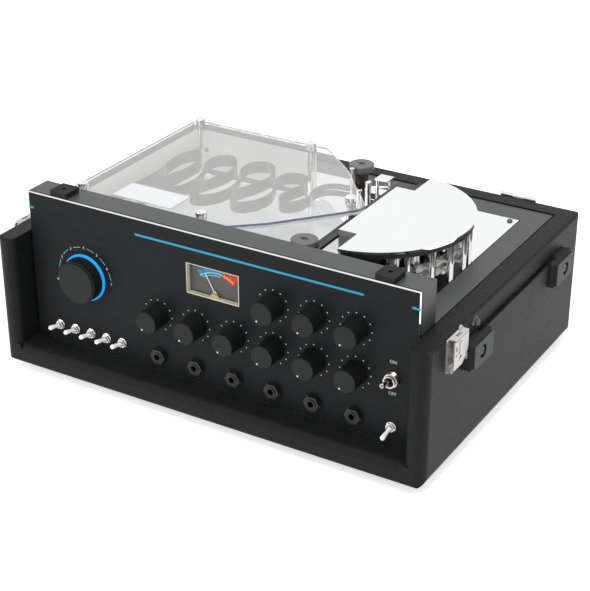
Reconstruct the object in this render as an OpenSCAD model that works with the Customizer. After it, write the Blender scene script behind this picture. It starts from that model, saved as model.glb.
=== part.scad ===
// Tape echo unit in a covered carrying case, lid taken off.
// X is the width, -Y the front, Z up; origin under the middle of the case on the table.
// Positions on the deck and panel are measured from the panel's front face and top edge.

/* [Case] */
// Outer width of the covered case
case_w = 470; // [466:1:500]
// Outer depth of the case, front of the cheeks to the back wall
case_d = 347.5; // [345:0.5:380]
// Height of the case without its feet
case_h = 135.5; // [132:0.5:145]
// Thickness of the case walls and floor
wall = 20; // [18:0.5:21]
// Radius of the case's outer edges
case_r = 10; // [4:0.5:14]
// Radius of the upper edge of the walls
rim_r = 3; // [1:0.5:4]
// Radius of the front edges inside the recess
cheek_r = 8; // [2:0.5:8]
// Height of the rubber feet
foot_h = 9; // [6:0.5:14]
// Diameter of the rubber feet
foot_d = 22; // [16:1:28]
// Distance of each foot's centre from the case's sides, front and back
foot_inset = 46; // [30:1:60]

/* [Control panel] */
// Width of the control panel and of the metalwork behind it
panel_w = 426; // [424:0.5:428]
// Height of the control panel
panel_h = 156.5; // [154:0.5:160]
// Thickness of the control panel
panel_t = 3; // [2:0.5:4]
// How far the panel's face lies behind the cheeks
panel_recess = 28; // [24:1:36]
// Bevel round the panel's face
panel_bevel = 1; // [0.5:0.1:1.5]
// Depth of the folded housing, with the panel
housing_d = 30; // [29:0.5:34]
// Sheet thickness of the housing and the deck frame
sheet = 2; // [1.5:0.1:2.5]
// Width of the meter's opening
vu_w = 58.5; // [50:0.5:62]
// Height of the meter's opening
vu_h = 32; // [28:0.5:34]
// Distance of the meter's centre below the panel's top
vu_drop = 47.2; // [44:0.2:50]

/* [Knobs] */
// Distance between the columns of knobs and jacks
column_pitch = 42.8; // [38:0.1:43]
// X of the first column
column_x = -62.7; // [-66:0.1:-58]
// Distance of the upper knobs below the panel's top
upper_drop = 51.4; // [48:0.2:54]
// Distance of the lower knobs below the panel's top
lower_drop = 95.3; // [92:0.2:98]
// Distance of the jacks below the panel's top
jack_drop = 139.4; // [136:0.2:142]
// Diameter of a small knob at its face
knob_d = 22.4; // [18:0.2:25]
// Length of a small knob
knob_l = 20.5; // [14:0.5:24]
// Diameter of the mode knob
mode_d = 45; // [36:1:50]
// Length of the mode knob
mode_l = 13.5; // [10:0.5:18]
// X of the mode knob
mode_x = -148.7; // [-155:0.1:-140]
// Distance of the mode knob below the panel's top
mode_drop = 77.4; // [72:0.2:82]
// Radius of the control shafts
shaft_r = 3; // [2.5:0.1:3.2]

/* [Switches and jacks] */
// Distance between the small switches
switch_pitch = 19.05; // [17:0.05:20]
// X of the first small switch
switch_x = -183.7; // [-186:0.1:-180]
// Distance of the small switches below the panel's top
switch_drop = 138.4; // [136:0.2:141]
// X of the power and level switches
power_x = 188.7; // [186:0.1:192]
// Distance of the power switch below the panel's top
power_drop = 91.3; // [86:0.2:96]
// Distance of the level switch below the panel's top
level_drop = 140.5; // [136:0.2:142]
// Swing of a small switch lever to each side
switch_tilt = 12; // [8:1:15]
// Length of a small switch lever from its pivot
switch_l = 17; // [14:0.5:20]
// Radius of the jack's bore
jack_bore_r = 3.2; // [3:0.05:3.3]
// How far a jack stands out of the panel
jack_reach = 6; // [5:0.5:8]

/* [Deck] */
// Distance of the deck's surface below the top of the case walls
deck_drop = 1; // [0.5:0.1:2]
// Width of the polished deck plate
deck_w = 377; // [372:0.5:380]
// Thickness of the deck plate
deck_t = 3; // [2:0.5:4]
// Height of the tape tank under its clear cover
tank_h = 29; // [24:0.5:31]
// Thickness of the clear cover
cover_t = 5; // [3:0.5:6]
// Width of the clear cover's straight edges, left edge to the chamfer
cover_l = 166; // [150:1:170]
// Diameter of the thumb screws
thumb_d = 11; // [9:0.5:13]
// Height of the thumb screws' heads
thumb_h = 9; // [6:0.5:10]
// Height of the head cover's top over the deck
head_top = 33; // [31:0.5:36]
// Radius of the half-round head cover
head_r = 97.4; // [94:0.2:98]
// Thickness of the head cover's mirror plate
mirror_t = 2.5; // [1.5:0.5:3]
// Thickness of the black plate under the mirror plate
block_t = 5; // [3:0.5:6]
// Number of tape heads
head_count = 7; // [5:1:7]
// Angle between two heads
head_step = 16; // [14:0.5:17]
// Width of the tape
tape_w = 6.35; // [5:0.05:7]
// Thickness of the tape as modelled
tape_t = 0.4; // [0.3:0.05:0.5]
// Radius of the guide rollers where the tape runs
roller_r = 9; // [7:0.5:9.5]
// Radius of the guide rollers' caps
roller_cap_r = 13; // [11:0.5:13]
// Radius of the capstan
capstan_r = 3; // [2.5:0.1:4]
// Radius of the pinch roller
pinch_r = 9; // [7:0.5:10]
// Swings that the tape makes across the tank
tape_folds = 4.5; // [2.5:1:5.5]

/* [Carrying hardware] */
// Height of the side handles' end caps
handle_h = 27; // [22:1:32]
// How far the end caps stand out from the case
handle_reach = 11.5; // [11:0.5:14]
// Length of an end cap
cap_l = 44; // [38:1:48]
// Distance of the front cap from the panel's face
cap_y = 42; // [40:1:60]
// Distance between the front ends of the two caps
cap_pitch = 190; // [180:1:200]
// Distance of the handles below the top of the case
handle_drop = 34; // [30:1:40]
// Thickness of the handle straps
strap_t = 2.5; // [2:0.5:3]
// Width of a hinge leaf
hinge_w = 39; // [30:1:45]
// X of the hinges
hinge_x = 166; // [140:1:180]
// Radius of the hinge knuckles
knuckle_r = 2.5; // [2:0.1:3]

/* [Hidden] */

$fn = 64;
// Cutters reach past a face by this much
over = 1;
// Clearance of a shaft turning in its bore
run = 0.05;
// Clearance between still pieces that fit each other
fit = 0.2;
// Distance that moving faces keep
air = 0.4;

// Case frame
hinge_reach = 2 * knuckle_r;
front_y = -(case_d + hinge_reach) / 2;
back_y = front_y + case_d;
mid_y = (front_y + back_y) / 2;
side_x = case_w / 2;
rim_z = foot_h + case_h;
floor_z = foot_h + wall;
bay_w = case_w - 2 * wall;
bay_back = back_y - wall;

// Metalwork frame
chassis_gap = 1.5;
panel_y = front_y + panel_recess;
panel_z = floor_z + chassis_gap;
panel_top = panel_z + panel_h;
deck_z = rim_z - deck_drop;
frame_back = bay_back - chassis_gap;
deck_front = housing_d + 1;
deck_gap = 1;
deck_flange = 28;
deck_l = frame_back - panel_y - deck_front - deck_flange;
ledge_w = 8;
ledge_t = 2;
tray_t = 1.5;

// Head cover
head_x = 87;
head_y = deck_front + deck_l / 2 + 4.5;
chord_x = 79;
notch_x = 99;
tab_h = 118;
block_top = head_top - mirror_t;
block_low = block_top - block_t;
skirt_low = 8;
skirt_t = 2.5;
tape_r = head_r - 19.4;
bar_front = -(tape_r + 36);
bar_back = tape_r - 2;
screen_r = tape_r - 23.5;

// Clear cover
cover_x = -196;
cover_y = deck_front + 2;
cover_w = deck_l - 5;
cover_mid = cover_y + cover_w / 2;
shoulder = 40;
nose = [62, cover_mid];
nose_r = 14;
stand_r = 4;
screw_hole_r = 2.6;
screw_shank_r = 2;
shank_l = 10;
stand_inset = 14;
stand_x = [cover_x + stand_inset, cover_x + cover_l - 12];
stand_spots = concat([for (x = stand_x, s = [-1, 1]) [x, cover_mid + s * (cover_w / 2 - stand_inset)]],
  [nose]);

// Tape run
tape_lift = 0.6;
skin = tape_t / 2 + 0.3;
roller_f = [62, head_y - tape_r - 15];
capstan = [78, head_y + tape_r + 5];
roller_b = [20, capstan[1] + 12];
run_y = roller_f[1] - roller_r - skin;

// Turns a tangent between two circles; a circle right of the tape has a minus radius
function heading(a, ra, b, rb) = atan2(b[1] - a[1], b[0] - a[0]) - asin((rb - ra) / norm(b - a));
function arc_points(c, r, from, to, n) =
  [for (i = [0:n]) let(a = from + (to - from) * i / n) c + r * [cos(a), sin(a)]];

turn_f = heading(roller_f, roller_r + skin, [head_x, head_y], tape_r);
turn_h = heading([head_x, head_y], tape_r, capstan, capstan_r + skin);
turn_k = heading(capstan, capstan_r + skin, roller_b, -(roller_r + skin));
pinch_turn = (turn_h + turn_k) / 2 - 90;
pinch = capstan + (capstan_r + 2 * skin + pinch_r) * [cos(pinch_turn), sin(pinch_turn)];
pinch_pivot = capstan + [34, 18];

fold_n = 144;
fold_x = -8;
fold_w = 170;
fold_bulge = 9;
fold_draw = 0.25;
fold_low = run_y + 13;
fold_high = roller_b[1] - roller_r - 3;
fold_points = [for (i = [0:fold_n]) let(u = i / fold_n, p = 360 * tape_folds * u)
  [fold_x - fold_w * u - fold_bulge * sin(2 * p),
   (fold_low + fold_high) / 2 + (fold_high - fold_low) / 2 * (1 - fold_draw * pow(sin(360 * u), 2)) * cos(p)]];
turn_r = (fold_low - run_y) / 2;
tape_path = concat(
  arc_points(roller_f, roller_r + skin, -90, turn_f - 90, 4),
  arc_points([head_x, head_y], tape_r, turn_f - 90, turn_h - 90, 24),
  arc_points(capstan, capstan_r + skin, turn_h - 90, turn_k - 90, 4),
  arc_points(roller_b, roller_r + skin, turn_k + 90, 250, 4),
  fold_points,
  arc_points([fold_x - fold_w, run_y + turn_r], turn_r, 105, 270, 8));

// Controls
knob_spots = concat([for (k = [0:5]) [column_x + k * column_pitch, lower_drop]],
  [for (k = [3:5]) [column_x + k * column_pitch, upper_drop]]);
jack_spots = [for (k = [0:5]) [column_x + k * column_pitch, jack_drop]];
switch_spots = [for (k = [0:4]) [switch_x + k * switch_pitch, switch_drop]];
small_spots = concat(switch_spots, [[power_x, level_drop]]);
bush_r = 3.1;
bush_out = 5;
ball_out = 2;
power_bush_r = 5.9;
power_bush_out = 8;
pot_bush_r = 4.6;
pot_r = 8.2;
pot_t = 9;
jack_bush_r = 4.7;
jack_body = [14, 16, 22];
ring_t = 2;
needle_rest = -29;
needle_l = 21;
needle_drop = vu_drop + vu_h / 2 - 4.8;
needle_y = 4.4;
dial_y = 6.5;
vu_frame = 0.9;
vu_d = 24;

// Carrying hardware
handle_top = rim_z - handle_drop + handle_h / 2;
handle_z = handle_top - handle_h / 2;
strap_gap = 1.4;
strap_tuck = 14;
latch_w = 32;
latch_y = 7;
latch_h = 33;
latch_base_t = 1.2;
latch_pin_r = 1.2;
latch_pin_out = 4.5;
latch_pin_h = 5;
latch_z = rim_z - latch_h - 1;
lever_w = latch_w - 4;
lever_t = 1.2;
inlet_x = 150;
inlet_z = floor_z + 38;
inlet_w = 28;
inlet_h = 21;

// Inside the chassis
tank_size = [235, 80, 33];
tank_back = frame_back - 23;
board_size = [260, 120, 1.6];
board_y = tank_back - tank_size[1] - board_size[1] / 2 - 20;
core_size = [60, 36, 50];
core_y = board_y + 5;

// Places a child on the panel: +Z points out of the panel, +Y up
module on_panel(spot) {
  translate([spot[0], panel_y, panel_top - spot[1]]) rotate([90, 0, 0]) children();
}

// Places a child on the deck, spot measured from the middle and the panel's face
module on_deck(spot, h = 0) {
  translate([spot[0], panel_y + spot[1], deck_z + h]) children();
}

// Mirrors a right-hand piece to the left side too
module both_sides() {
  children();
  mirror([1, 0, 0]) children();
}

// Rectangle about the origin with round corners
module round_rect(w, h, r) {
  square([w - 2 * r, h], center = true);
  square([w, h - 2 * r], center = true);
  for (x = [-1, 1], y = [-1, 1]) translate([x * (w / 2 - r), y * (h / 2 - r)]) circle(r);
}

// Fillet to cut along an edge: a square corner less a quarter round
module edge_cut(r) {
  difference() {
    translate([-over, -over]) square(r + over);
    translate([r, r]) circle(r);
  }
}

// Tube of given wall about Z
module tube(r, bore, l) {
  difference() {
    cylinder(r = r, h = l);
    translate([0, 0, -over]) cylinder(r = bore, h = l + 2 * over);
  }
}

// ---- Case ----

module case_outline() {
  difference() {
    translate([0, foot_h + case_h / 2]) round_rect(case_w, case_h, case_r);
    translate([-case_w, rim_z - case_r]) square([2 * case_w, case_r + over]);
  }
  translate([0, rim_z - case_h / 2]) round_rect(case_w, case_h - 2 * case_r, rim_r);
  translate([0, rim_z - case_r - rim_r]) round_rect(case_w, 2 * (case_r + rim_r), rim_r);
}

module case_shell() {
  color([0.13, 0.13, 0.13])
  difference() {
    intersection() {
      translate([0, back_y, 0]) rotate([90, 0, 0]) linear_extrude(case_d) case_outline();
      linear_extrude(rim_z) translate([0, mid_y]) round_rect(case_w, case_d, case_r);
      rotate([90, 0, 90]) translate([0, 0, -case_w / 2]) linear_extrude(case_w)
        translate([mid_y, foot_h + case_h / 2]) round_rect(case_d, case_h, rim_r);
    }
    translate([-bay_w / 2, front_y - over, floor_z])
      cube([bay_w, case_d - wall + over, case_h]);
    both_sides() translate([bay_w / 2, front_y, floor_z]) linear_extrude(case_h) edge_cut(cheek_r);
    translate([-bay_w / 2, front_y, floor_z]) rotate([90, 0, 90]) linear_extrude(bay_w)
      mirror([0, 1]) edge_cut(cheek_r);
    translate([inlet_x - inlet_w, bay_back - over, inlet_z - inlet_h])
      cube([2 * inlet_w, wall + 2 * over, 2 * inlet_h]);
  }
}

module foot() {
  rotate_extrude() polygon([[0, 0], [foot_d / 2 - 2.5, 0], [foot_d / 2 - 1, 1.5],
    [foot_d / 2, foot_h], [0, foot_h]]);
}

module bumper_pad() {
  difference() {
    linear_extrude(5.5) round_rect(20, 21, 1.5);
    translate([0, 0, 2.5]) cylinder(r = 2.2, h = 5);
  }
}

module rubber_feet() {
  color([0.07, 0.07, 0.07]) {
    for (x = [-1, 1], y = [-1, 1])
      translate([x * (side_x - foot_inset), mid_y + y * (case_d / 2 - foot_inset + 16), 0]) foot();
    both_sides() translate([177, panel_y + 12.2, panel_top]) bumper_pad();
  }
}

// ---- Handles, latches and hinges ----

// End cap of a side handle over the strap's end, strap side towards +X
module handle_cap() {
  difference() {
    union() {
      linear_extrude(handle_reach - 2) round_rect(cap_l, handle_h, 2.5);
      linear_extrude(handle_reach) round_rect(cap_l - 4, handle_h - 3, 2);
    }
    translate([-2, 0, handle_reach - 3]) cylinder(r = 6.5, h = 6);
    translate([cap_l / 2 - strap_tuck - fit, -handle_h, -over])
      cube([2 * cap_l, 2 * handle_h, strap_gap + strap_t + fit + over]);
  }
}

// Puts a child on the right wall: +Z points out, +X to the back, +Y up
module on_side(y, z) {
  translate([side_x, panel_y + y, z]) rotate([90, 0, 90]) children();
}

module handle_caps() {
  color([0.16, 0.16, 0.17]) both_sides() {
    on_side(cap_y + cap_l / 2, handle_z) handle_cap();
    on_side(cap_y + cap_pitch + cap_l / 2, handle_z) mirror([1, 0, 0]) handle_cap();
  }
}

module handle_straps() {
  l = cap_pitch - cap_l + 2 * strap_tuck;
  color([0.1, 0.1, 0.1]) both_sides() on_side(cap_y + (cap_pitch + cap_l) / 2, handle_z)
    translate([0, 0, strap_gap]) linear_extrude(strap_t) round_rect(l, handle_h - 1, 2);
}

module pan_screw(r, h) {
  difference() {
    union() {
      cylinder(r = r, h = h * 0.5);
      translate([0, 0, h * 0.5]) cylinder(r1 = r, r2 = r * 0.7, h = h * 0.5);
    }
    for (a = [0, 90]) rotate([0, 0, a]) translate([-r * 0.6, -r * 0.12, h * 0.5])
      cube([r * 1.2, r * 0.24, h]);
  }
}

module screws() {
  color([0.25, 0.25, 0.26]) {
    both_sides() {
      for (y = [-2, cap_pitch + 2]) on_side(cap_y + cap_l / 2 + y, handle_z)
        translate([0, 0, handle_reach - 3]) pan_screw(4.5, 2.2);
      on_side(66, rim_z - 9.6) {
        cylinder(r1 = 6, r2 = 4.5, h = 1.5);
        translate([0, 0, 1.5]) pan_screw(3.8, 2.4);
      }
      for (y = [deck_front + 7, deck_front + deck_l - 7])
        on_deck([deck_w / 2 - 7, y]) pan_screw(2.8, 1.8);
    }
    for (p = [[48, 95], [52, 88], [36, 200], [62, 196]]) on_deck(p) pan_screw(2.4, 1.6);
  }
}

// Puts a child on the right wall at the latch's foot: +X to the back, +Y up, +Z out
module at_latch() {
  on_side(latch_y + latch_w / 2, latch_z) children();
}

// Base plate with ears for the pin and a slotted flange for the lid's hook
module latch_plate() {
  difference() {
    linear_extrude(latch_base_t) translate([0, latch_h / 2]) round_rect(latch_w, latch_h, 2);
    for (x = [-1, 1], y = [12, latch_h - 7]) translate([x * (latch_w / 2 - 5), y, -over])
      cylinder(r = 1.6, h = 4);
  }
  for (x = [-latch_w / 2, latch_w / 2 - 1.5])
    translate([x, latch_pin_h - 3, 0]) cube([1.5, 6, latch_pin_out + latch_pin_r + 0.6]);
  translate([-latch_w / 2, latch_pin_h, latch_pin_out]) rotate([0, 90, 0])
    cylinder(r = latch_pin_r, h = latch_w);
  difference() {
    translate([-lever_w / 2 + 2, latch_h - 1.2, 0]) cube([lever_w - 2, 1.2, 7.4]);
    translate([-4, latch_h - 3, 3]) cube([8, 5, 2.6]);
  }
  translate([lever_w / 2 - 4, latch_h - 1, 0]) linear_extrude(latch_base_t)
    translate([1, 1]) circle(r = 3);
}

module latch_plates() {
  color([0.75, 0.75, 0.76]) both_sides() at_latch() latch_plate();
}

// Outer face of the lever, cut away towards its lower back corner
module lever_face() {
  top = latch_h - latch_pin_h - 2;
  difference() {
    polygon([[-lever_w / 2, -1.2], [3, -1.2], [lever_w / 2, 9], [lever_w / 2, top], [-lever_w / 2, top]]);
    translate([-lever_w / 2 + 4, 12]) {
      circle(r = 1.2);
      translate([-1.2, 4]) square([2.4, 5]);
    }
    polygon([[-3, 5], [2, 8], [-3, 9.5]]);
  }
}

module latch_lever() {
  z = latch_pin_out + latch_pin_r + 0.5;
  at_latch() translate([0, latch_pin_h, 0]) difference() {
    union() {
      translate([-lever_w / 2, 0, latch_pin_out]) rotate([0, 90, 0]) cylinder(r = 2.2, h = lever_w / 2 + 3);
      translate([0, 0, z]) linear_extrude(lever_t) lever_face();
      translate([-4, 11, z + lever_t]) cube([4, 12, 0.8]);
    }
    translate([-latch_w, 0, latch_pin_out]) rotate([0, 90, 0])
      cylinder(r = latch_pin_r + run, h = 2 * latch_w);
  }
}

module latch_lever_right() {
  color([0.78, 0.78, 0.79]) latch_lever();
}

module latch_lever_left() {
  color([0.78, 0.78, 0.79]) mirror([1, 0, 0]) latch_lever();
}

// Lift-off hinge half: leaf on the back wall, two knuckles and a pin
module hinge_half() {
  difference() {
    translate([-hinge_w / 2, back_y, rim_z - 30]) cube([hinge_w, 1.5, 30]);
    for (x = [-1, 1]) translate([x * 12, back_y - over, rim_z - 20]) rotate([-90, 0, 0])
      cylinder(r = 2, h = 5);
  }
  for (x = [-hinge_w / 2, 6]) translate([x, back_y + knuckle_r, rim_z]) rotate([0, 90, 0])
    cylinder(r = knuckle_r, h = hinge_w / 2 - 6);
  translate([-hinge_w / 2, back_y + knuckle_r, rim_z]) rotate([0, 90, 0])
    cylinder(r = 1.2, h = hinge_w);
}

module hinge_leaves() {
  color([0.72, 0.72, 0.73]) both_sides() translate([hinge_x, 0, 0]) hinge_half();
}

// ---- Chassis ----

module chassis_tray() {
  w = panel_w;
  y0 = panel_y + panel_t;
  l = frame_back - y0;
  h = deck_z - sheet - floor_z;
  color([0.55, 0.55, 0.56])
  difference() {
    translate([-w / 2, y0, floor_z]) cube([w, l, h]);
    translate([-w / 2 + tray_t, y0 - over, floor_z + tray_t])
      cube([w - 2 * tray_t, l - tray_t + over, h]);
    translate([inlet_x - inlet_w / 2 - fit, frame_back - 5, inlet_z - inlet_h / 2 - fit])
      cube([inlet_w + 2 * fit, 10, inlet_h + 2 * fit]);
  }
}

// Black frame that the deck plate lies in
module deck_frame() {
  w = panel_w;
  y0 = panel_y + panel_t;
  dy = panel_y + deck_front;
  color([0.2, 0.2, 0.21])
  difference() {
    union() {
      translate([-w / 2, y0, deck_z - sheet]) cube([w, frame_back - y0, sheet]);
      translate([-deck_w / 2 - ledge_w, dy - deck_gap, deck_z - deck_t - ledge_t])
        cube([deck_w + 2 * ledge_w, deck_l + deck_gap + ledge_w, deck_t + ledge_t - over / 2]);
    }
    translate([-deck_w / 2 - deck_gap, dy - deck_gap / 2, deck_z - deck_t])
      cube([deck_w + 2 * deck_gap, deck_l + 1.5 * deck_gap, deck_t + over]);
    translate([-deck_w / 2 + ledge_w, dy + ledge_w, deck_z - 20])
      cube([deck_w - 2 * ledge_w, deck_l - 2 * ledge_w, 30]);
    translate([-w / 2 + 8, y0 - over, deck_z - 20])
      cube([w - 16, housing_d - panel_t - sheet + over, 30]);
  }
}

module control_housing() {
  h = panel_top - deck_z;
  d = housing_d - panel_t;
  color([0.3, 0.3, 0.31])
  translate([-panel_w / 2, panel_y + panel_t, deck_z])
  difference() {
    cube([panel_w, d, h]);
    translate([sheet, -over, -over]) cube([panel_w - 2 * sheet, d - sheet + over, h - sheet + over]);
  }
}

module panel_blank() {
  difference() {
    translate([-panel_w / 2, panel_y, panel_z]) cube([panel_w, panel_t, panel_h]);
    for (z = [panel_z, panel_top]) translate([-panel_w, panel_y, z]) rotate([45, 0, 0])
      translate([0, -panel_bevel * 0.7071, -panel_bevel * 0.7071])
        cube([2 * panel_w, panel_bevel * 1.4142, panel_bevel * 1.4142]);
    for (x = [-1, 1]) translate([x * panel_w / 2, panel_y, 0]) rotate([0, 0, 45])
      translate([-panel_bevel * 0.7071, -panel_bevel * 0.7071, 0])
        cube([panel_bevel * 1.4142, panel_bevel * 1.4142, 2 * panel_top]);
  }
}

module panel_hole(spot, r) {
  on_panel(spot) translate([0, 0, -panel_t - over]) cylinder(r = r, h = panel_t + 2 * over);
}

module front_panel() {
  color([0.12, 0.125, 0.13])
  difference() {
    panel_blank();
    panel_hole([mode_x, mode_drop], pot_bush_r + fit);
    for (p = knob_spots) panel_hole(p, pot_bush_r + fit);
    for (p = jack_spots) panel_hole(p, jack_bush_r + fit);
    for (p = small_spots) panel_hole(p, bush_r + fit);
    panel_hole([power_x, power_drop], power_bush_r + fit);
    on_panel([0, vu_drop]) translate([-vu_w / 2, -vu_h / 2, -panel_t - over])
      cube([vu_w, vu_h, panel_t + 2 * over]);
  }
}

// ---- Meter ----

module vu_bezel() {
  color([0.8, 0.73, 0.55]) on_panel([0, vu_drop]) difference() {
    translate([0, 0, -dial_y + 1]) linear_extrude(dial_y - 1.4)
      square([vu_w - 2 * fit, vu_h - 2 * fit], center = true);
    translate([0, 0, -dial_y]) linear_extrude(dial_y + over)
      square([vu_w - 2 * vu_frame - 2 * fit, vu_h - 2 * vu_frame - 2 * fit], center = true);
  }
}

module vu_window() {
  color([0.8, 0.85, 0.9, 0.35]) on_panel([0, vu_drop]) translate([0, 0, -2]) linear_extrude(1)
    square([vu_w - 2 * vu_frame - 3 * fit, vu_h - 2 * vu_frame - 3 * fit], center = true);
}

module vu_movement() {
  color([0.75, 0.75, 0.72]) on_panel([0, vu_drop]) difference() {
    translate([-vu_w / 2 + fit, -vu_h / 2 + fit, -vu_d]) cube([vu_w - 2 * fit, vu_h - 2 * fit,
      vu_d - dial_y + 1]);
    translate([-vu_w / 2 + vu_frame + fit, -vu_h / 2 + vu_frame + fit, -dial_y])
      cube([vu_w - 2 * vu_frame - 2 * fit, vu_h - 2 * vu_frame - 2 * fit, dial_y]);
  }
  color([0.75, 0.75, 0.72]) on_panel([0, needle_drop]) translate([0, 0, -dial_y])
    cylinder(r = 1, h = dial_y - 3, $fn = 24);
}

module vu_needle() {
  color([0.1, 0.1, 0.1]) on_panel([0, needle_drop]) translate([0, 0, -needle_y - 0.6]) {
    difference() {
      union() {
        cylinder(r = 1.8, h = 1.2, $fn = 24);
        rotate([0, 0, -needle_rest]) translate([-0.35, 0, 0.4]) cube([0.7, needle_l, 0.4]);
      }
      translate([0, 0, -over]) cylinder(r = 1 + run, h = 4, $fn = 24);
    }
  }
}

// ---- Rotary controls ----

module rotary_body(spot, can_r, can_t) {
  on_panel(spot) difference() {
    union() {
      translate([0, 0, -panel_t - can_t]) cylinder(r = can_r, h = can_t);
      translate([0, 0, -panel_t]) cylinder(r = pot_bush_r, h = panel_t + 0.3);
    }
    translate([0, 0, -panel_t - can_t + 2]) cylinder(r = shaft_r + run, h = can_t + panel_t + 3);
  }
}

module rotary_bodies() {
  color([0.6, 0.6, 0.6]) {
    for (p = knob_spots) rotary_body(p, pot_r, pot_t);
    rotary_body([mode_x, mode_drop], 18, 16);
  }
}

module mode_ring() {
  color([0.1, 0.5, 0.95]) on_panel([mode_x, mode_drop]) tube(mode_d / 2 + 1.7, pot_bush_r + 1, ring_t);
}

// Knob with its shaft; foot is the gap to the panel, reach the shaft's depth behind it
module knob(d, l, foot, reach, taper, lip) {
  translate([0, 0, foot]) {
    cylinder(r1 = d / 2 + taper, r2 = d / 2, h = l - lip);
    translate([0, 0, l - lip]) cylinder(r1 = d / 2, r2 = d / 2 - lip, h = lip);
  }
  translate([0, 0, -reach]) cylinder(r = shaft_r, h = reach + foot + 1);
}

module panel_knob(n) {
  color([0.12, 0.12, 0.12]) on_panel(knob_spots[n - 1])
    difference() {
      knob(knob_d, knob_l, 0.8, panel_t + pot_t - 2.5, 0.8, 0.4);
      rotate([0, 0, -120]) translate([knob_d / 2 - 2, 0, knob_l + 0.8 - 0.3])
        cylinder(r = 1.1, h = 1, $fn = 24);
    }
}

module mode_knob() {
  foot = ring_t + 0.5;
  color([0.13, 0.13, 0.13]) on_panel([mode_x, mode_drop]) difference() {
    union() {
      knob(mode_d - 1, mode_l - 1, foot, panel_t + 13.5, 0.5, 0.5);
      translate([0, 0, foot + mode_l - 1.5]) cylinder(r = mode_d / 2 - 2.2, h = 1.5);
    }
    translate([-mode_d / 2 + 1.4, 0, foot + mode_l - 1.2]) cylinder(r = 0.9, h = 3, $fn = 24);
  }
}

module knob_1() { panel_knob(1); }
module knob_2() { panel_knob(2); }
module knob_3() { panel_knob(3); }
module knob_4() { panel_knob(4); }
module knob_5() { panel_knob(5); }
module knob_6() { panel_knob(6); }
module knob_7() { panel_knob(7); }
module knob_8() { panel_knob(8); }
module knob_9() { panel_knob(9); }

// ---- Switches ----

// Switch case behind the panel with its threaded bush; the lever's ball sits in the bush
module switch_body(spot, r, out, size, socket_r) {
  on_panel(spot) difference() {
    union() {
      translate([0, 0, -panel_t - size[2] / 2]) cube(size, center = true);
      translate([0, 0, -panel_t]) cylinder(r = r, h = panel_t + out);
    }
    translate([0, 0, -panel_t - 2]) cylinder(r = socket_r, h = panel_t + out + 3);
    translate([0, 0, out - 1]) cylinder(r1 = socket_r, r2 = socket_r + 0.5, h = 1.01);
  }
}

module toggle_bodies() {
  color([0.62, 0.62, 0.62]) {
    for (p = small_spots) switch_body(p, bush_r, bush_out, [8, 13, 10], 2.3);
    switch_body([power_x, power_drop], power_bush_r, power_bush_out, [18, 30, 20], 4.2);
  }
}

module toggle_nuts() {
  color([0.8, 0.78, 0.74]) {
    for (p = small_spots) on_panel(p) difference() {
      union() {
        cylinder(r = 4.9, h = 0.6);
        translate([0, 0, 0.6]) cylinder(r = 8 / sqrt(3), h = 2.2, $fn = 6);
      }
      translate([0, 0, -over]) cylinder(r = bush_r + 0.05, h = 6);
    }
    on_panel([power_x, power_drop]) difference() {
      union() {
        cylinder(r = 8, h = 1.6);
        translate([0, 0, 1.6]) cylinder(r1 = 8, r2 = 6.6, h = 3);
      }
      translate([0, 0, -over]) cylinder(r = power_bush_r + 0.05, h = 8);
    }
  }
}

// Bat lever about its ball, which lies ball_out in front of the panel; tilt is up
module bat_lever(spot, tilt) {
  color([0.85, 0.85, 0.85]) on_panel(spot) translate([0, 0, ball_out]) rotate([-tilt, 0, 0]) {
    sphere(r = 2.1);
    cylinder(r1 = 1.2, r2 = 2.3, h = switch_l - 2.3);
    translate([0, 0, switch_l - 2.3]) sphere(r = 2.3);
  }
}

module toggle_lever_1() { bat_lever(switch_spots[0], switch_tilt); }
module toggle_lever_2() { bat_lever(switch_spots[1], switch_tilt); }
module toggle_lever_3() { bat_lever(switch_spots[2], switch_tilt); }
module toggle_lever_4() { bat_lever(switch_spots[3], switch_tilt); }
module toggle_lever_5() { bat_lever(switch_spots[4], switch_tilt); }
module level_lever() { bat_lever([power_x, level_drop], -switch_tilt); }

module power_lever() {
  color([0.8, 0.8, 0.8]) on_panel([power_x, power_drop]) rotate([-9, 0, 0]) {
    sphere(r = 3.9);
    cylinder(r = 1.8, h = 20);
    translate([0, 0, 20]) sphere(r = 3.1);
  }
}

// ---- Jacks ----

module jack() {
  difference() {
    union() {
      translate([0, 0, -panel_t - jack_body[2] / 2]) cube(jack_body, center = true);
      translate([0, 0, -panel_t]) cylinder(r = jack_bush_r, h = panel_t + jack_reach);
    }
    translate([0, 0, -panel_t - jack_body[2] + 2])
      cylinder(r = jack_bore_r, h = jack_body[2] + panel_t + jack_reach);
  }
  difference() {
    union() {
      cylinder(r = 8.4, h = 1.6);
      translate([0, 0, 1.6]) cylinder(r = 14.5 / sqrt(3), h = jack_reach - 2.4, $fn = 6);
    }
    translate([0, 0, -over]) cylinder(r = jack_bush_r + 0.1, h = 12);
  }
}

module jack_sockets() {
  color([0.13, 0.13, 0.13]) for (p = jack_spots) on_panel(p) jack();
}

// ---- Deck and tape tank ----

module deck_plate() {
  color([0.85, 0.86, 0.87]) difference() {
    on_deck([-deck_w / 2, deck_front], -deck_t) cube([deck_w, deck_l, deck_t]);
    on_deck(capstan, -deck_t - over) cylinder(r = 8 + fit, h = deck_t + 2 * over);
  }
}

// Straight left end, chamfered shoulders and a round nose between them
module cover_outline() {
  corner = [cover_x, cover_y];
  a = [cover_x + cover_l, cover_y];
  b = a + [shoulder + 6, shoulder];
  t = heading(b, 0, nose, nose_r) - 90;
  front = [corner, a, b];
  polygon(concat(front, arc_points(nose, nose_r, t, -t, 20),
    [for (i = [len(front) - 1:-1:0]) [front[i][0], 2 * cover_mid - front[i][1]]]));
}

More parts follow.
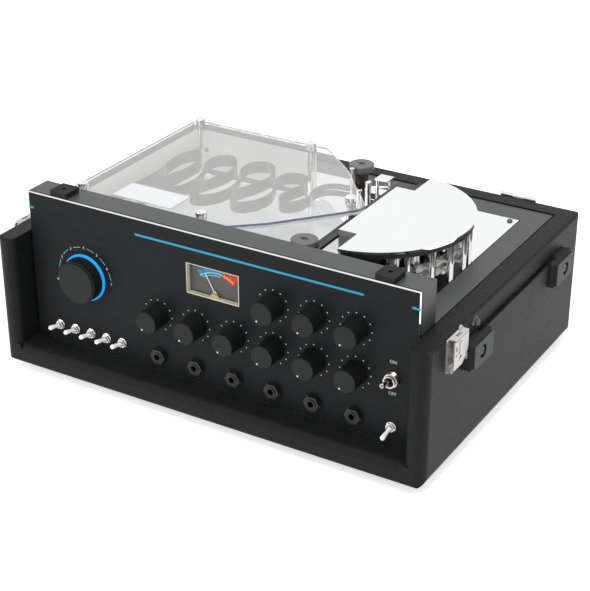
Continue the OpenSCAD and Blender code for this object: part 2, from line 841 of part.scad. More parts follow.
module tank_cover() {
  color([0.75, 0.8, 0.85, 0.5]) difference() {
    on_deck([0, 0], tank_h) linear_extrude(cover_t) cover_outline();
    for (p = stand_spots) on_deck(p, tank_h - over) cylinder(r = screw_hole_r, h = cover_t + 2 * over);
  }
}

module cover_standoffs() {
  color([0.82, 0.82, 0.83]) for (p = stand_spots) on_deck(p) difference() {
    cylinder(r = stand_r, h = tank_h);
    translate([0, 0, tank_h - shank_l - 2]) cylinder(r = screw_shank_r + 0.1, h = shank_l + 3);
  }
}

// Gear-like outline for a knurled head
function knurl(r, n, cut) = [for (i = [0:2 * n - 1]) (i % 2 == 0 ? r : r - cut) *
  [cos(180 * i / n), sin(180 * i / n)]];

module thumb_screw() {
  translate([0, 0, 1]) linear_extrude(thumb_h - 2) polygon(knurl(thumb_d / 2, 24, 0.35));
  cylinder(r = thumb_d / 2 - 1, h = 1.2);
  translate([0, 0, thumb_h - 1.2]) cylinder(r1 = thumb_d / 2 - 0.4, r2 = thumb_d / 2 - 1.2, h = 1.2);
  translate([0, 0, -cover_t - shank_l]) cylinder(r = screw_shank_r, h = cover_t + shank_l + 0.5);
}

module thumb_screws() {
  color([0.85, 0.85, 0.86]) for (p = stand_spots) on_deck(p, tank_h + cover_t) thumb_screw();
}

// Ribbon along a closed path: the outline between the path moved out and moved in
function side_of(path, d) = [for (i = [0:len(path) - 1]) let(
  a = path[(i + len(path) - 1) % len(path)], b = path[(i + 1) % len(path)],
  t = (b - a) / norm(b - a)) path[i] + d * [t[1], -t[0]]];

module tape_loop() {
  n = len(tape_path);
  color([0.25, 0.17, 0.14]) on_deck([0, 0], tape_lift) linear_extrude(tape_w)
    polygon(concat(side_of(tape_path, tape_t / 2), side_of(tape_path, -tape_t / 2)),
      [[for (i = [0:n - 1]) i], [for (i = [0:n - 1]) n + i]]);
}

// ---- Head assembly ----

module head_disc(r) {
  translate([head_x, head_y]) circle(r, $fn = 96);
}

module head_cover_plate() {
  color([0.9, 0.9, 0.91]) on_deck([0, 0], block_top) linear_extrude(mirror_t) intersection() {
    head_disc(head_r);
    union() {
      translate([notch_x, head_y - head_r]) square([2 * head_r, 2 * head_r]);
      translate([chord_x, head_y - tab_h / 2]) square([40, tab_h]);
    }
  }
}

module block_outline() {
  intersection() {
    head_disc(head_r - 1.5);
    polygon([[chord_x, head_y - tab_h / 2], [notch_x + 2, head_y - head_r + 3],
      [300, head_y - head_r + 3], [300, head_y + head_r - 3], [notch_x + 2, head_y + head_r - 3],
      [chord_x, head_y + tab_h / 2]]);
  }
}

// Black plate with a skirt over the tape on its left side and a screening wall inside the heads
module head_block_plate() {
  color([0.08, 0.08, 0.08]) {
    on_deck([0, 0], block_low) linear_extrude(block_t) block_outline();
    on_deck([0, 0], skirt_low) linear_extrude(block_low - skirt_low) intersection() {
      difference() {
        block_outline();
        translate([skirt_t, 0]) block_outline();
      }
      translate([chord_x - over, head_y - head_r]) square([notch_x - chord_x + 4, head_r + tab_h / 2]);
    }
    on_deck([0, 0], 0) linear_extrude(block_low) intersection() {
      difference() {
        head_disc(screen_r);
        head_disc(screen_r - skirt_t);
      }
      translate([chord_x + 12, head_y - head_r]) square([head_r, 2 * head_r]);
    }
  }
}

// Places a child on the head circle: +X points outward, origin on the circle's centre
module on_head(k) {
  on_deck([head_x, head_y]) rotate([0, 0, (k - (head_count - 1) / 2) * head_step]) children();
}

head_nose = tape_r - skin;

module tape_head() {
  translate([head_nose - 18, -7, 2]) cube([12, 14, 14]);
  intersection() {
    translate([head_nose - 7, 0, 2]) cylinder(r = 7, h = 14);
    translate([head_nose - 8, -7, 0]) cube([10, 14, 20]);
  }
  translate([head_nose - 20, -8, 0]) cube([18, 16, 2]);
}

module tape_heads() {
  color([0.75, 0.75, 0.76]) for (k = [0:head_count - 1]) on_head(k) tape_head();
}

pad_t = 4;
post_out = 13;

// Felt pad on a spring arm that reaches to its post
module pressure_pad() {
  translate([tape_r + skin, -3, 1]) cube([pad_t, 6, 7]);
  translate([tape_r + skin + pad_t, -4, 3]) cube([0.8, 12, 3]);
  translate([tape_r + skin + pad_t, 7.2, 3]) cube([post_out - pad_t - 3 - skin, 0.8, 3]);
}

module pressure_pads() {
  color([0.9, 0.9, 0.88]) for (k = [0:head_count - 1]) on_head(k) pressure_pad();
}

module flanged_post(r, h) {
  cylinder(r = r, h = h);
  translate([0, 0, h - 1.2]) cylinder(r = r + 1, h = 1.2);
}

module domed_post(r, h) {
  cylinder(r = r, h = h);
  translate([0, 0, h]) scale([1, 1, 0.5]) sphere(r = r);
}

// Plate on two posts, with a leg that hangs over the tape and a stay rod
module lift_bracket() {
  translate([0, 0, 25.5]) cube([15, 14, 1.5]);
  translate([13, 5, 9]) cube([2, 6, 17]);
  for (p = [[2, 1.8], [12, 12]]) translate(p) cylinder(r = 1.8, h = 26);
  translate([-7.5, 0, 16]) rotate([0, 90, atan2(12, 19.5)]) cylinder(r = 1, h = norm([19.5, 12]));
}

module deck_posts() {
  color([0.84, 0.84, 0.85]) {
    for (k = [0:head_count - 1]) on_head(k) translate([tape_r + post_out, 7.6, 0])
      cylinder(r = 2.6, h = block_low);
    for (y = [-48, 48]) on_deck([chord_x + 8, head_y + y]) cylinder(r = 3.5, h = block_low);
    on_deck([17.8, roller_b[1] - 16.8]) flanged_post(1.6, head_top);
    for (p = [roller_f, roller_b]) on_deck(p) cylinder(r = 2, h = 27);
    on_deck(pinch_pivot) cylinder(r = 3, h = 16);
    for (y = [bar_front + 4, bar_back - 10]) on_deck([74, head_y + y]) cylinder(r = 3, h = block_low - 1.5);
    on_deck([-2, run_y - 5]) flanged_post(2, 12);
    on_deck([20, run_y - 5]) flanged_post(2, 12);
    on_deck([roller_b[0] + 16.5, roller_b[1] - 16]) domed_post(3.5, 21.5);
    on_deck([roller_b[0] + 6, roller_b[1] - 16]) domed_post(3.2, 10.5);
    on_deck([roller_b[0] + 24, roller_b[1] - 16]) lift_bracket();
  }
}

module bridge_bar() {
  color([0.09, 0.09, 0.09]) on_deck([69, head_y + bar_front], block_low - 1.5)
    cube([9.5, bar_back - bar_front, 3]);
}

// ---- Tape drive ----

module capstan_motor() {
  color([0.4, 0.4, 0.42]) on_deck(capstan) difference() {
    union() {
      translate([0, 0, -deck_t - 40]) cylinder(r = 22, h = 40);
      translate([0, 0, -deck_t]) cylinder(r = 8, h = deck_t + tape_lift - 0.3);
    }
    translate([0, 0, -deck_t - 41]) cylinder(r = capstan_r + run, h = 60);
  }
}

module capstan_shaft() {
  color([0.82, 0.82, 0.83]) on_deck(capstan) {
    translate([0, 0, -deck_t - 46]) cylinder(r = capstan_r, h = deck_t + 46 + 20);
    translate([0, 0, -deck_t - 46]) cylinder(r = 18, h = 5);
  }
}

module pinch_roller() {
  color([0.12, 0.12, 0.12]) on_deck(pinch, 1) tube(pinch_r, 2 + run, 9);
}

module pinch_arm() {
  a = atan2(pinch_pivot[1] - pinch[1], pinch_pivot[0] - pinch[0]);
  l = norm(pinch_pivot - pinch);
  color([0.8, 0.8, 0.8]) difference() {
    on_deck(pinch, 10.4) {
      rotate([0, 0, a]) translate([0, -3, 0]) cube([l, 6, 3]);
      cylinder(r = 5, h = 3);
      translate([0, 0, -9.6]) cylinder(r = 2, h = 9.7);
      rotate([0, 0, a]) translate([l, 0, 0]) cylinder(r = 6, h = 3);
    }
    on_deck(pinch_pivot, 5) cylinder(r = 3 + run, h = 12);
  }
}

// Guide roller on a fixed spindle: tape spool, sleeve, collar and slotted cap
module guide_roller(collar) {
  difference() {
    union() {
      translate([0, 0, 0.3]) cylinder(r = roller_r, h = 8);
      translate([0, 0, 8.3]) cylinder(r = roller_r + 1.5, h = 1.5);
      translate([0, 0, 9.8]) cylinder(r = roller_r - 2, h = head_top - 5 - 9.8);
      translate([0, 0, head_top - 5 - collar]) cylinder(r = roller_cap_r - 2, h = collar + 0.5);
      translate([0, 0, head_top - 5]) cylinder(r = roller_cap_r, h = 4.2);
      translate([0, 0, head_top - 0.8]) cylinder(r1 = roller_cap_r, r2 = roller_cap_r - 0.8, h = 0.8);
    }
    translate([0, 0, -over]) cylinder(r = 2 + run, h = 27 + over + 0.5);
    translate([0, 0, head_top - 1.5]) cylinder(r = 3, h = 3);
    translate([-5, -0.7, head_top - 1.2]) cube([10, 1.4, 3]);
  }
}

module roller_front() { color([0.3, 0.3, 0.3]) on_deck(roller_f) guide_roller(0.5); }
module roller_rear() { color([0.3, 0.3, 0.3]) on_deck(roller_b) guide_roller(3); }

// ---- Inside the chassis ----

module transformer() {
  color([0.5, 0.42, 0.3]) translate([inlet_x, core_y, floor_z + tray_t]) {
    translate([-core_size[0] / 2 - 2, -27, 0]) cube([core_size[0] + 4, 54, 3]);
    translate([-core_size[0] / 2, -core_size[1] / 2, 3]) cube(core_size);
    translate([-core_size[0] * 0.3, -26, 10]) cube([core_size[0] * 0.6, 52, core_size[2] - 14]);
  }
}

module circuit_board() {
  color([0.1, 0.35, 0.2]) translate([-40, board_y, floor_z + tray_t]) {
    translate([-board_size[0] / 2, -board_size[1] / 2, 8]) cube(board_size);
    for (x = [-120, 120], y = [-50, 50]) translate([x, y, 0]) cylinder(r = 3, h = 8);
    for (x = [-100:40:100]) translate([x, 20, 9.6]) cylinder(r = 6, h = 16);
    for (x = [-90:36:90]) translate([x, -20, 9.6]) cube([20, 8, 4]);
  }
}

module reverb_tank() {
  color([0.6, 0.62, 0.63]) translate([-190, tank_back - tank_size[1], floor_z + tray_t]) difference() {
    cube(tank_size);
    translate([2, 2, -over]) cube([tank_size[0] - 4, tank_size[1] - 4, tank_size[2] - 2 + over]);
  }
}

module mains_inlet() {
  color([0.1, 0.1, 0.1]) translate([inlet_x, frame_back, inlet_z]) {
    difference() {
      union() {
        translate([-inlet_w / 2, -22, -inlet_h / 2]) cube([inlet_w, 22, inlet_h]);
        translate([-25, 0, -12]) cube([50, 1.2, 24]);
      }
      translate([-12, -16, -8]) cube([24, 20, 16]);
    }
    for (x = [-7, 0, 7]) translate([x - 1, -17, x == 0 ? 0 : -4]) cube([2, 11, 4]);
  }
}

case_shell();
rubber_feet();
handle_caps();
handle_straps();
screws();
latch_plates();
hinge_leaves();
chassis_tray();
deck_frame();
control_housing();
front_panel();
vu_bezel();
vu_window();
vu_movement();
vu_needle();
mode_ring();
rotary_bodies();
toggle_bodies();
toggle_nuts();
jack_sockets();
deck_plate();
cover_standoffs();
tape_loop();
head_cover_plate();
head_block_plate();
deck_posts();
tape_heads();
pressure_pads();
bridge_bar();
capstan_motor();
transformer();
circuit_board();
reverb_tank();
mains_inlet();
mode_knob();
knob_1();
knob_2();
knob_3();
knob_4();
knob_5();
knob_6();
knob_7();
knob_8();
knob_9();
toggle_lever_1();
toggle_lever_2();
toggle_lever_3();
toggle_lever_4();
toggle_lever_5();
power_lever();
level_lever();
tank_cover();
thumb_screws();
capstan_shaft();
pinch_roller();
pinch_arm();
roller_front();
roller_rear();
latch_lever_left();
latch_lever_right();
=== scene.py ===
"""Looks of a tape echo unit in its carrying case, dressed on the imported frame.

Metres, +Z up, -Y the front. A drop is measured down from the panel's top edge, x from the panel's
middle, and angles in degrees, counter-clockwise from the right as seen from the front.
"""

from math import cos, pi, radians, sin

import bmesh
import bpy
from mathutils import Matrix, Vector


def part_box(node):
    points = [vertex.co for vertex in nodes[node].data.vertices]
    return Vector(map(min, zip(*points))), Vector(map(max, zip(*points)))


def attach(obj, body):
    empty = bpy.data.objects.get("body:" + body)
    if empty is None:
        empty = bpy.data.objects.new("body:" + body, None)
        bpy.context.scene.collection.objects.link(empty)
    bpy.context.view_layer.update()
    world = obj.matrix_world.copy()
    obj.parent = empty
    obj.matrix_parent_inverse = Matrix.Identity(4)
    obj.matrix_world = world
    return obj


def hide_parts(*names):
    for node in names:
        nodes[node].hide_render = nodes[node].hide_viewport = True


MM = 0.001
WHITE = (1, 1, 1, 1)
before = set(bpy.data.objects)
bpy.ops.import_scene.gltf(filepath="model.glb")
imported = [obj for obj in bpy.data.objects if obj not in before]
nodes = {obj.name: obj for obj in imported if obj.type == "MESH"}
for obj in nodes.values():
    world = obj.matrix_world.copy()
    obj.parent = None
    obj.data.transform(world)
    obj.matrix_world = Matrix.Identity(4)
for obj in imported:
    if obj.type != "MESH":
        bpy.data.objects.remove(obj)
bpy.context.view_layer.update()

panel_low, panel_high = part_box("front_panel")
PANEL_Y = panel_low.y
PANEL_TOP = panel_high.z
KNOB_NAMES = [f"knob_{k}" for k in range(1, 10)]
LEVER_NAMES = [f"toggle_lever_{k}" for k in range(1, 6)] + ["level_lever"]


def centre_of(node):
    low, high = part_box(node)
    return (low + high) / 2


def around(x, z, r, angle):
    """The point (x, z) at a radius and an angle from a centre."""
    a = radians(angle)
    return x + r * cos(a), z + r * sin(a)


# ---- Shader nodes ----


def map_range(tree, value, source, target):
    """Maps the range source onto the range target, and holds the ends beyond it."""
    made = tree.nodes.new("ShaderNodeMapRange")
    for socket, end in zip(("From Min", "From Max", "To Min", "To Max"), (*source, *target)):
        made.inputs[socket].default_value = end
    tree.links.new(value, made.inputs["Value"])
    return made.outputs["Result"]


def math_node(tree, operation, first, second):
    """A Math node on an output and on a second output or number."""
    made = tree.nodes.new("ShaderNodeMath")
    made.operation = operation
    tree.links.new(first, made.inputs[0])
    if isinstance(second, bpy.types.NodeSocket):
        tree.links.new(second, made.inputs[1])
    else:
        made.inputs[1].default_value = second
    return made.outputs["Value"]


def seen_rays(tree):
    """1 where a surface is seen, also in a mirror or through glass, and 0 where it lights others."""
    path = tree.nodes.new("ShaderNodeLightPath").outputs
    mirrored = math_node(tree, "MAXIMUM", path["Is Camera Ray"], path["Is Glossy Ray"])
    return math_node(tree, "MAXIMUM", mirrored, path["Is Transmission Ray"])


class Surface:
    """A Principled material in object coordinates, with helpers for procedural detail.

    A texture's scale is about its features per metre.
    """

    def __init__(self, name, color, rough, metal=0.0, **sockets):
        self.material = bpy.data.materials.new(name)
        self.material.use_nodes = True
        self.tree = self.material.node_tree
        self.shader = self.tree.nodes["Principled BSDF"]
        self.color = color
        self.rough = rough
        self.set("Base Color", (*color, 1))
        self.set("Roughness", rough)
        self.set("Metallic", metal)
        for socket, value in sockets.items():
            self.set(socket.replace("_", " "), value)
        self.place = self.node("ShaderNodeTexCoord").outputs["Object"]
        self.relief = None

    def set(self, socket, value):
        self.shader.inputs[socket].default_value = value

    def node(self, kind, **inputs):
        made = self.tree.nodes.new(kind)
        for socket, value in inputs.items():
            made.inputs[socket].default_value = value
        return made

    def link(self, out, into):
        self.tree.links.new(out, into)
        return self

    def height(self):
        """The height on the object."""
        parts = self.node("ShaderNodeSeparateXYZ")
        self.link(self.place, parts.inputs[0])
        return parts.outputs["Z"]

    def stretched(self, scale):
        """Object coordinates scaled by a vector, for grain that runs one way."""
        mapping = self.node("ShaderNodeMapping", Scale=scale)
        self.link(self.place, mapping.inputs["Vector"])
        return mapping.outputs["Vector"]

    def noise(self, scale, detail=3.0, stretch=None):
        made = self.node("ShaderNodeTexNoise", Scale=scale, Detail=detail)
        self.link(self.stretched(stretch) if stretch else self.place, made.inputs["Vector"])
        return made.outputs["Fac"]

    def cells(self, scale):
        made = self.node("ShaderNodeTexVoronoi", Scale=scale)
        made.feature = "SMOOTH_F1"
        made.inputs["Smoothness"].default_value = 0.6
        self.link(self.place, made.inputs["Vector"])
        return made.outputs["Distance"]

    def tinted(self, factor, low, high):
        """Colours the surface low where the factor is 0 and high where it is 1."""
        mix = self.node("ShaderNodeMix")
        mix.data_type = "RGBA"
        mix.inputs["A"].default_value = (*low, 1)
        mix.inputs["B"].default_value = (*high, 1)
        self.link(factor, mix.inputs["Factor"])
        return self.link(mix.outputs["Result"], self.shader.inputs["Base Color"])

    def mottle(self, texture, amount):
        """Varies the colour's brightness by the amount each way."""
        dark = [c * (1 - amount) for c in self.color]
        bright = [min(1, c * (1 + amount)) for c in self.color]
        return self.tinted(texture, dark, bright)

    def worn(self, texture, amount):
        """Varies the roughness by the amount each way."""
        ends = max(0.0, self.rough - amount), min(1.0, self.rough + amount)
        rough = map_range(self.tree, texture, (0.0, 1.0), ends)
        return self.link(rough, self.shader.inputs["Roughness"])

    def bumped(self, texture, distance, strength=1.0):
        """Adds a bump of the given distance on top of the ones before it."""
        bump = self.node("ShaderNodeBump", Strength=strength, Distance=distance)
        self.link(texture, bump.inputs["Height"])
        if self.relief is not None:
            self.link(self.relief, bump.inputs["Normal"])
        self.relief = bump.outputs["Normal"]
        return self.link(self.relief, self.shader.inputs["Normal"])


# ---- Materials ----


def covering():
    """Black vinyl cloth with a pebbled grain."""
    s = Surface("case_covering", (0.0105, 0.0108, 0.0112), 0.42, Specular_IOR_Level=0.12)
    pebbles = s.cells(900.0)
    s.mottle(pebbles, 0.5).worn(s.noise(260.0), 0.1)
    return s.bumped(s.noise(1800.0, detail=2.0), 0.12 * MM, 0.5).bumped(pebbles, 0.6 * MM, 0.9).material


def paint(name, color, rough, gloss=0.5):
    """Sprayed paint: faint mottle, uneven gloss and a fine orange peel."""
    s = Surface(name, color, rough, Specular_IOR_Level=gloss)
    s.mottle(s.noise(45.0, detail=4.0), 0.07).worn(s.noise(90.0), 0.05)
    return s.bumped(s.noise(1500.0, detail=2.0), 0.02 * MM, 0.6).material


def plated(name, color, rough):
    """Bright plating with faint handling marks."""
    s = Surface(name, color, rough, 1.0)
    s.mottle(s.noise(160.0), 0.04).worn(s.noise(420.0, detail=4.0), 0.04)
    return s.bumped(s.noise(700.0), 0.01 * MM, 0.3).material


def satin(name, color, rough, metal, glow=0.0):
    """Satin plating; a glow, where given, is a painted glow (emission) that keeps it bright before a
    dark panel.
    """
    s = Surface(name, color, rough, metal, Emission_Color=WHITE, Emission_Strength=glow)
    return s.mottle(s.noise(300.0), 0.03).worn(s.noise(500.0), 0.05).material


def brushed(name, color, rough):
    """Sheet metal with fine lines that run from side to side."""
    s = Surface(name, color, rough, 1.0)
    lines = s.noise(60.0, detail=4.0, stretch=(1.0, 40.0, 40.0))
    s.mottle(lines, 0.08).worn(lines, 0.08)
    return s.bumped(lines, 0.02 * MM, 0.4).material


def deck_mirror():
    """Polished plate, nearly flat, with hairline swirls that only dull it."""
    s = Surface("deck_mirror", (0.93, 0.935, 0.94), 0.02, 1.0)
    swirls = s.noise(300.0, detail=4.0, stretch=(1.0, 9.0, 1.0))
    return s.mottle(s.noise(6.0), 0.01).worn(swirls, 0.015).material


def moulded(name, color, rough, grain=0.03 * MM, gloss=0.5):
    """Moulded plastic or rubber: fine spark-eroded grain."""
    s = Surface(name, color, rough, Specular_IOR_Level=gloss)
    s.mottle(s.noise(120.0), 0.08).worn(s.noise(300.0), 0.06)
    return s.bumped(s.noise(2200.0, detail=2.0), grain, 0.6).material


def window_glass():
    """Thin clear window, coated so that it mirrors little."""
    s = Surface("window_glass", (0.98, 0.98, 0.98), 0.0, Transmission_Weight=1.0, IOR=1.12)
    return s.mottle(s.noise(25.0), 0.005).material


# The cover's edge line: its height, the blur under it, the way its sides face, and its colour
EDGE_LINE, EDGE_BLUR = 2.2 * MM, 0.3 * MM
EDGE_FACING = (1.2, -1.0, 0.0)
EDGE_TURN = 0.2, 0.4
EDGE_BLUE = (0.03, 0.045, 0.09)


def acrylic():
    """Milky clear sheet with a dark blue line along the top of its front and right edges."""
    # The sheet's faint emission is a painted glow that brightens it.
    s = Surface("acrylic", (0.77, 0.777, 0.77), 0.0, Transmission_Weight=0.86, IOR=1.3,
                Emission_Color=WHITE, Emission_Strength=0.07)
    facing = s.node("ShaderNodeVectorMath")
    facing.operation = "DOT_PRODUCT"
    facing.inputs[1].default_value = EDGE_FACING
    s.link(s.node("ShaderNodeNewGeometry").outputs["Normal"], facing.inputs[0])
    line_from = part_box("tank_cover")[1].z - EDGE_LINE
    sides = map_range(s.tree, facing.outputs["Value"], EDGE_TURN, (0.0, 1.0))
    upper = map_range(s.tree, s.height(), (line_from - EDGE_BLUR, line_from), (0.0, 1.0))
    return s.tinted(math_node(s.tree, "MULTIPLY", sides, upper), s.color, EDGE_BLUE).material


def two_tone(name, low, high, split, rough, metal=0.0):
    """One colour below a height on the object and another above it."""
    s = Surface(name, low, rough, metal)
    s.tinted(math_node(s.tree, "GREATER_THAN", s.height(), split), low, high)
    return s.worn(s.noise(420.0, detail=4.0), 0.05).material


def ink(name, color, glow=0.0):
    """Flat ink or enamel, with a painted glow (emission) where it has to stay bright."""
    s = Surface(name, color, 0.6, Emission_Color=(*color, 1), Emission_Strength=glow)
    return s.mottle(s.noise(900.0), 0.05).material


def felt():
    """Pale felt with a fuzz of fine fibres."""
    s = Surface("felt", (0.82, 0.81, 0.77), 0.95, Sheen_Weight=0.4)
    fibres = s.noise(2600.0, detail=4.0)
    return s.mottle(fibres, 0.12).bumped(fibres, 0.2 * MM).material


def magnetic_tape():
    """Brown oxide with a glossy back; it shows long faint streaks along its run."""
    s = Surface("tape", (0.13, 0.1, 0.09), 0.18, Specular_IOR_Level=0.9)
    streaks = s.noise(40.0, detail=2.0, stretch=(1.0, 1.0, 60.0))
    return s.mottle(streaks, 0.12).worn(streaks, 0.05).material


# The power switch's nut is warmer than the nuts of the row below this drop
WARM_NUT_DROP = 115 * MM
# A guide roller has a grey cap of this height on a dark body
ROLLER_CAP = 9.0 * MM

COVERING = covering()
PANEL_PAINT = paint("panel_paint", (0.012, 0.0132, 0.0138), 0.5, gloss=0.13)
FRAME_PAINT = paint("frame_paint", (0.06, 0.061, 0.062), 0.42)
HOUSING_PAINT = paint("housing_paint", (0.06, 0.062, 0.062), 0.42)
BLACK_PAINT = paint("black_paint", (0.01, 0.01, 0.01), 0.4)
CHROME = plated("chrome", (0.88, 0.88, 0.87), 0.06)
NICKEL = plated("nickel", (0.76, 0.745, 0.72), 0.2)
LATCH = satin("latch_nickel", (0.58, 0.57, 0.555), 0.3, metal=0.55)
NUTS = two_tone("nut_plating", (0.84, 0.83, 0.81), (0.84, 0.75, 0.64),
                PANEL_TOP - WARM_NUT_DROP, 0.24, metal=1.0)
# The levers' silver carries a painted glow (emission) that keeps them bright.
SILVER = satin("lever_silver", (0.92, 0.92, 0.91), 0.3, metal=0.3, glow=0.32)
DARK_CHROME = plated("dark_chrome", (0.3, 0.27, 0.25), 0.12)
SCREW_BLACK = plated("screw_black", (0.1, 0.1, 0.1), 0.3)
ZINC = brushed("zinc_sheet", (0.55, 0.56, 0.57), 0.4)
MIRROR = deck_mirror()
ACRYLIC = acrylic()
WINDOW = window_glass()
# The tank walls carry a painted glow (emission) that lifts them out of the shade under the cover.
TANK_WALL = ink("tank_wall", (0.86, 0.86, 0.85), glow=0.16)
GASKET = moulded("gasket", (0.12, 0.12, 0.12), 0.6)
KNOB = moulded("knob_plastic", (0.0085, 0.009, 0.009), 0.42, gloss=0.22)
CAP = moulded("cap_plastic", (0.03, 0.031, 0.032), 0.45, grain=0.06 * MM, gloss=0.25)
STRAP = moulded("strap", (0.014, 0.014, 0.015), 0.5, grain=0.08 * MM, gloss=0.15)
RUBBER = moulded("rubber", (0.008, 0.008, 0.008), 0.62, grain=0.06 * MM, gloss=0.25)
JACK = moulded("jack_plastic", (0.012, 0.0125, 0.0125), 0.32, gloss=0.4)
ROLLER = two_tone("roller_grey", (0.03, 0.018, 0.014), (0.13, 0.13, 0.13),
                  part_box("roller_rear")[1].z - ROLLER_CAP, 0.35)
DIAL = moulded("dial_grey", (0.1, 0.094, 0.086), 0.6, grain=0.01 * MM, gloss=0.3)
GOLD = moulded("bezel_gold", (0.8, 0.75, 0.58), 0.32, grain=0.01 * MM)
# The mode ring carries a painted glow (emission) that keeps its blue bright.
BLUE = ink("blue_ring", (0.01, 0.38, 0.9), glow=0.45)
FELT = felt()
TAPE = magnetic_tape()
HEAD = plated("head_metal", (0.7, 0.69, 0.67), 0.2)
MOTOR = paint("motor_paint", (0.1, 0.1, 0.1), 0.5)
IRON = brushed("transformer_iron", (0.35, 0.3, 0.24), 0.5)
BOARD = paint("board", (0.02, 0.12, 0.05), 0.4)
WHITE_INK = ink("white_ink", (0.82, 0.83, 0.84))
# The sky, blue and orange inks carry a painted glow (emission) that keeps them bright.
SKY_INK = ink("sky_ink", (0.16, 0.58, 0.74), glow=0.12)
BLUE_INK = ink("blue_ink", (0.02, 0.35, 0.56), glow=0.04)
BAND_INK = ink("band_ink", (0.015, 0.2, 0.38))
RED_INK = ink("red_ink", (0.55, 0.04, 0.01))
ORANGE_INK = ink("orange_ink", (1.0, 0.24, 0.07), glow=0.3)
BRASS = moulded("brass", (0.5, 0.42, 0.16), 0.35, grain=0.01 * MM)
GREY_INK = ink("grey_ink", (0.16, 0.16, 0.17))

LOOKS = {
    COVERING: ["case_shell"],
    PANEL_PAINT: ["front_panel"],
    FRAME_PAINT: ["deck_frame"],
    HOUSING_PAINT: ["control_housing"],
    BLACK_PAINT: ["head_block_plate", "bridge_bar"],
    RUBBER: ["rubber_feet", "pinch_roller"],
    CAP: ["handle_caps"],
    STRAP: ["handle_straps"],
    SCREW_BLACK: ["screws"],
    NICKEL: ["hinge_leaves"],
    LATCH: ["latch_plates", "latch_lever_left", "latch_lever_right"],
    NUTS: ["toggle_nuts"],
    SILVER: LEVER_NAMES,
    DARK_CHROME: ["power_lever"],
    ZINC: ["chassis_tray", "rotary_bodies", "toggle_bodies", "reverb_tank"],
    MIRROR: ["deck_plate", "head_cover_plate"],
    CHROME: ["cover_standoffs", "deck_posts", "thumb_screws", "capstan_shaft", "pinch_arm"],
    HEAD: ["tape_heads"],
    GOLD: ["vu_bezel"],
    WINDOW: ["vu_window"],
    DIAL: ["vu_movement"],
    BLUE: ["mode_ring"],
    JACK: ["jack_sockets", "mains_inlet"],
    ACRYLIC: ["tank_cover"],
    TAPE: ["tape_loop"],
    FELT: ["pressure_pads"],
    MOTOR: ["capstan_motor"],
    IRON: ["transformer"],
    BOARD: ["circuit_board"],
    KNOB: ["mode_knob", *KNOB_NAMES],
    ROLLER: ["roller_front", "roller_rear"],
    WHITE_INK: ["vu_needle"],
}
for look, names in LOOKS.items():
    for name in names:
        for place in nodes[name].material_slots:
            place.material = look


# ---- Pieces ----


def piece(name, mesh, looks, body):
    """Adds a mesh in the shared frame that rides on a body and takes its finish from a slot."""
    made = bpy.data.objects.new(name, mesh)
    bpy.context.scene.collection.objects.link(made)
    for look in looks:
        mesh.materials.append(look)
    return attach(made, body)


def mesh_of(name, bm):
    mesh = bpy.data.meshes.new(name)
    bm.to_mesh(mesh)
    bm.free()
    return mesh


def face_of(bm, points, look=0):
    """A face through new points, with the index of its look."""
    face = bm.faces.new([bm.verts.new(point) for point in points])
    face.material_index = look
    return face


# How far ink stands out from what it is printed on, and the sides of a round dot
INK_OUT = 0.08 * MM
DOT_SIDES = 16


class Print:
    """Flat ink shapes that face the front, gathered in one mesh. Each names its look."""

    def __init__(self, y, looks):
        self.bm = bmesh.new()
        self.y = y
        self.looks = looks

    def shape(self, points, look):
        """A filled outline of (x, z) points, counter-clockwise."""
        face_of(self.bm, [(x, self.y, z) for x, z in points], self.looks.index(look))

    def dot(self, x, z, r, look):
        self.shape([around(x, z, r, 360 * k / DOT_SIDES) for k in range(DOT_SIDES)], look)

    def bar(self, x0, x1, drop, height, look):
        """A level bar whose middle is at a drop."""
        low = PANEL_TOP - drop - height / 2
        high = low + height
        self.shape([(x0, low), (x1, low), (x1, high), (x0, high)], look)

    def band(self, x, z, inner, outer, start, end, look, steps=24, edge=None):
        """Part of a ring between two angles, cut off where edge(angle) is nearer than outer."""
        turn = [start + (end - start) * k / steps for k in range(steps + 1)]
        rim = [(min(outer, edge(a)) if edge else outer, a) for a in turn]
        for (reach, a), (next_reach, b) in zip(rim, rim[1:]):
            corners = [(inner, a), (reach, a), (next_reach, b), (inner, b)]
            self.shape([around(x, z, r, t) for r, t in corners], look)

    def ray(self, x, z, inner, outer, angle, width, look):
        """A tick that points away from a centre."""
        start, end = (Vector(around(x, z, r, angle)) for r in (inner, outer))
        side = Vector(around(0, 0, width / 2, angle + 90))
        self.shape([start - side, end - side, end + side, start + side], look)

    def words(self, text, x, z, size, look):
        """Plain capitals or figures, centred on x, z."""
        curve = bpy.data.curves.new("letters", "FONT")
        curve.body, curve.size = text, size
        curve.align_x, curve.align_y = "CENTER", "CENTER"
        letters = bpy.data.objects.new("letters", curve)
        flat = bpy.data.meshes.new_from_object(letters)
        flat.transform(Matrix.Translation((x, self.y, z)) @ Matrix.Rotation(pi / 2, 4, "X"))
        first = len(self.bm.faces)
        self.bm.from_mesh(flat)
        self.bm.faces.ensure_lookup_table()
        for face in self.bm.faces[first:]:
            face.material_index = self.looks.index(look)
        bpy.data.objects.remove(letters)
        bpy.data.curves.remove(curve)
        bpy.data.meshes.remove(flat)

    def done(self, name, body):
        return piece(name, mesh_of(name, self.bm), self.looks, body)


# Panel: blue stripe with stubs, dots round the knobs, figures and arcs at the mode knob, ON and OFF
STRIPE_DROP, STRIPE_H = 16.5 * MM, 2.2 * MM
STRIPE_RUNS = [(panel_low.x, -207 * MM), (-86 * MM, 158 * MM), (205 * MM, panel_high.x)]
DOTS, DOT_RING, DOT_R, DOT_SWING = 11, 15.8 * MM, 0.62 * MM, 150
MODE_STEPS, MODE_RING, MODE_FIGURE = 7, 31.5 * MM, 4.2 * MM
MODE_ARC_T, MODE_ARC_GAP = 0.56 * MM, 7
ON_DROP, OFF_DROP, ON_OFF_SIZE = 74.5 * MM, 106.5 * MM, 4.4 * MM


